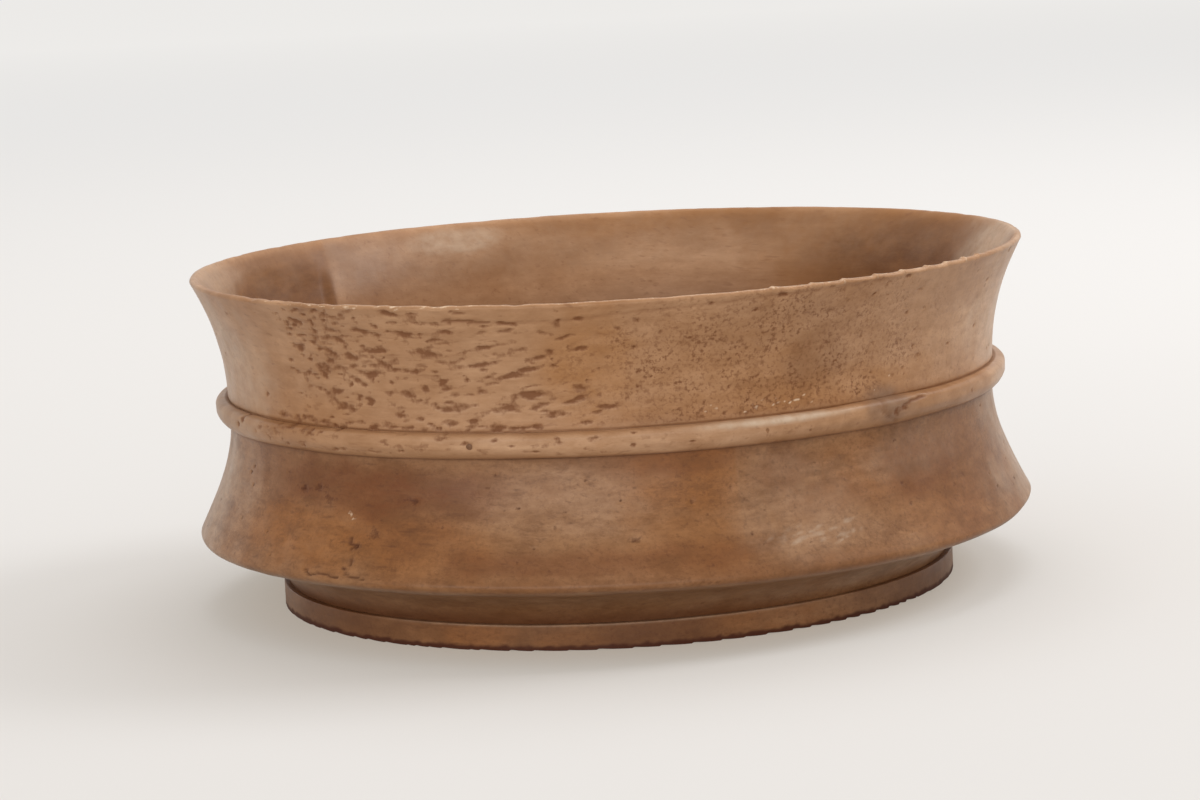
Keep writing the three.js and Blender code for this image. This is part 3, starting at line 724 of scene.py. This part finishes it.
# The floor.
# A disc let into the lower wall from below and slightly dished on top, cut with a gouge.
floor_disc = turned("floor_carved", outline(
    (0, 4.7), (3.0, (53.0, 4.7)), (1.3, (53.0, 8.6)), (1.5, (48.4, 8.6)), (0.5, (48.4, 9.6)),
    (0.9, (24.2, 9.1), (0, 9.1))), fine=())
disc = Surface(floor_disc)
uneven = 0.15 * unevenness(disc.at, 8, 71) + 0.05 * unevenness(disc.at, 2.5, 72)
disc.shift(np.where((disc.height > 8.9) & (disc.radius < 47.5), uneven, 0))
disc.keep()
orange = 0.5 * smoothly(0, 0.6, unevenness(disc.at, 26, 73))
# The floor is painted darker towards its edge, painted shade where it meets the wall.
dark = np.maximum(0.45 * smoothly(0, 0.6, unevenness(disc.at, 22, 74)), 0.5 * smoothly(40, 48.4, disc.radius))
disc.note("stains_and_painted_light", orange, dark, disc.bare, disc.bare - 1)
disc.note("marks", disc.bare + 0.15, 0.7 * smoothly(47.6, 48.4, disc.radius), disc.bare, disc.bare)
set_on(floor_disc, "floor", waxed_wood(
    "floor_wood", light=paint(156, 112, 76), middle=paint(138, 94, 60), deep=paint(108, 70, 42),
    orange_stain_and_painted_light=paint(144, 88, 44), dark_stain_and_shade=paint(94, 58, 32), pale_wear_and_light=paint(172, 130, 98),
    pore_and_shade=paint(70, 42, 22)))

# The pegs.
# Nine split pegs through the bead, and six upright ones through the foot, cut flush and darkened.
peg_wood = waxed_wood(
    "peg_wood", light=paint(180, 134, 96), middle=paint(162, 115, 77), deep=paint(122, 78, 46),
    orange_stain_and_painted_light=paint(150, 96, 52), dark_stain_and_shade=paint(72, 42, 24), pale_wear_and_light=paint(190, 146, 110),
    pore_and_shade=paint(70, 38, 20))
waist_peg_radius, waist_peg_length, waist_peg_middle = 0.52, 5.6, 68.96
foot_peg_radius = 1.0


def split_peg(name, radius, length, turn, place):
    """A peg split from straight wood: faintly eight-sided, its head cut a little round, its end pointed."""
    bm = bmesh.new()
    bmesh.ops.create_cone(bm, cap_ends=True, segments=24, radius1=radius, radius2=radius, depth=length)
    head = [f for f in bm.faces if f.normal.z > 0.9]
    bmesh.ops.inset_region(bm, faces=head, thickness=radius * 0.35, depth=radius * 0.10)
    bmesh.ops.inset_region(bm, faces=head, thickness=radius * 0.3, depth=radius * 0.05)
    tail = [v for v in bm.verts if v.co.z < -length / 2 + 1e-6]
    bmesh.ops.scale(bm, vec=(0.45, 0.45, 1), verts=tail)
    for vert in bm.verts:
        angle = math.atan2(vert.co.y, vert.co.x)
        vert.co.xy *= 1 + 0.03 * math.cos(8 * angle) + 0.03 * math.cos(3 * angle + length * 4000)
    bmesh.ops.transform(bm, matrix=Matrix.Translation(place) @ turn, verts=bm.verts)
    return finished(name, bm, 35)


for name in sorted(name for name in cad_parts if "_peg_" in name):
    middle = middle_of(name)
    if name in waist_pegs:
        outward = Vector((middle.x, middle.y, 0)).normalized()
        turn = outward.to_track_quat("Z", "Y").to_matrix().to_4x4()
        place = outward * waist_peg_middle * mm + Vector((0, 0, middle.z))
        piece = split_peg(name + "_split", waist_peg_radius * mm, waist_peg_length * mm, turn, place)
        darkened = 0.15 if flush(bearing_of(middle)) else 0.8
    else:
        low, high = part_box(name)
        turn = Matrix.Rotation(math.pi, 4, "X")
        piece = split_peg(name + "_split", foot_peg_radius * mm, high.z - low.z, turn, middle)
        darkened = 0.5
    peg = Surface(piece)
    peg.keep()
    peg.note("stains_and_painted_light", peg.bare, peg.bare + darkened, peg.bare, peg.bare - 1)
    peg.note("marks", peg.bare + 0.3, peg.bare, peg.bare, peg.bare)
    set_on(piece, name, peg_wood)
